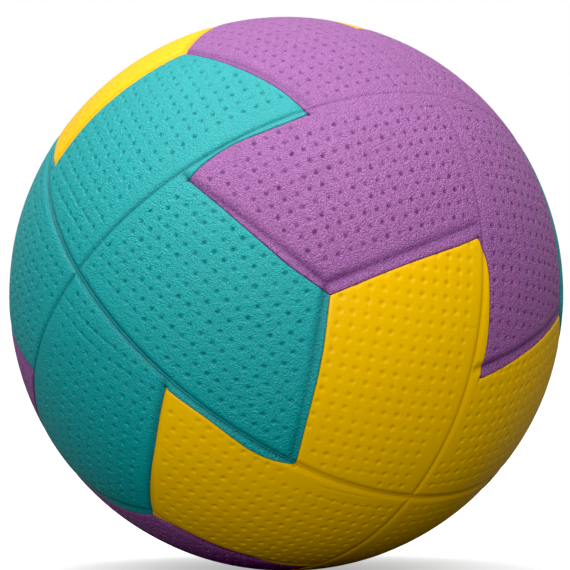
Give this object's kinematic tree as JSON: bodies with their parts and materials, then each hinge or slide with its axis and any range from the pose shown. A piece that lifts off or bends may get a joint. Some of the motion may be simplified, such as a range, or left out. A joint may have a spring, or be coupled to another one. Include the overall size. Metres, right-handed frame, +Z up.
{
  "type": "handball",
  "caption": "Inflatable handball with dimpled foamed-rubber panels in three colours, bonded over a wound bladder, with a self-sealing valve.",
  "frame": {"origin": "centre of the ball", "axes": "+Z up as the ball lies in the picture, -Y towards the camera, +X to the right in the picture"},
  "size_m": [0.1622, 0.1622, 0.1622],
  "materials": {
    "teal_cover": "matte foamed rubber with moulded dimples",
    "purple_cover": "matte foamed rubber with moulded dimples",
    "yellow_cover": "matte foamed rubber with moulded dimples",
    "thread_winding": "wound nylon thread set in latex",
    "bladder_rubber": "smooth butyl rubber",
    "valve_rubber": "smooth moulded rubber",
    "plug_rubber": "soft self-sealing rubber"
  },
  "bodies": {
    "ball": {"teal_panel_1": "teal_cover", "teal_panel_2": "teal_cover", "teal_panel_3": "teal_cover", "teal_panel_4": "teal_cover", "teal_panel_5": "teal_cover", "teal_panel_6": "teal_cover", "teal_panel_7": "teal_cover", "teal_panel_8": "teal_cover", "purple_panel_1": "purple_cover", "purple_panel_2": "purple_cover", "purple_panel_3": "purple_cover", "purple_panel_4": "purple_cover", "purple_panel_5": "purple_cover", "purple_panel_6": "purple_cover", "purple_panel_7": "purple_cover", "purple_panel_8": "purple_cover", "yellow_panel_1": "yellow_cover", "yellow_panel_2": "yellow_cover", "yellow_panel_3": "yellow_cover", "yellow_panel_4": "yellow_cover", "yellow_panel_5": "yellow_cover", "yellow_panel_6": "yellow_cover", "yellow_panel_7": "yellow_cover", "yellow_panel_8": "yellow_cover", "winding": "thread_winding", "bladder": "bladder_rubber", "valve_housing": "valve_rubber"},
    "plug": {"valve_plug": "plug_rubber"}
  },
  "joints": [
    {"name": "plug_slide", "type": "slide", "parent": "ball", "child": "plug", "axis": [-0.4778, 0.8367, -0.2676], "range_m": [0, 0.018]}
  ]
}
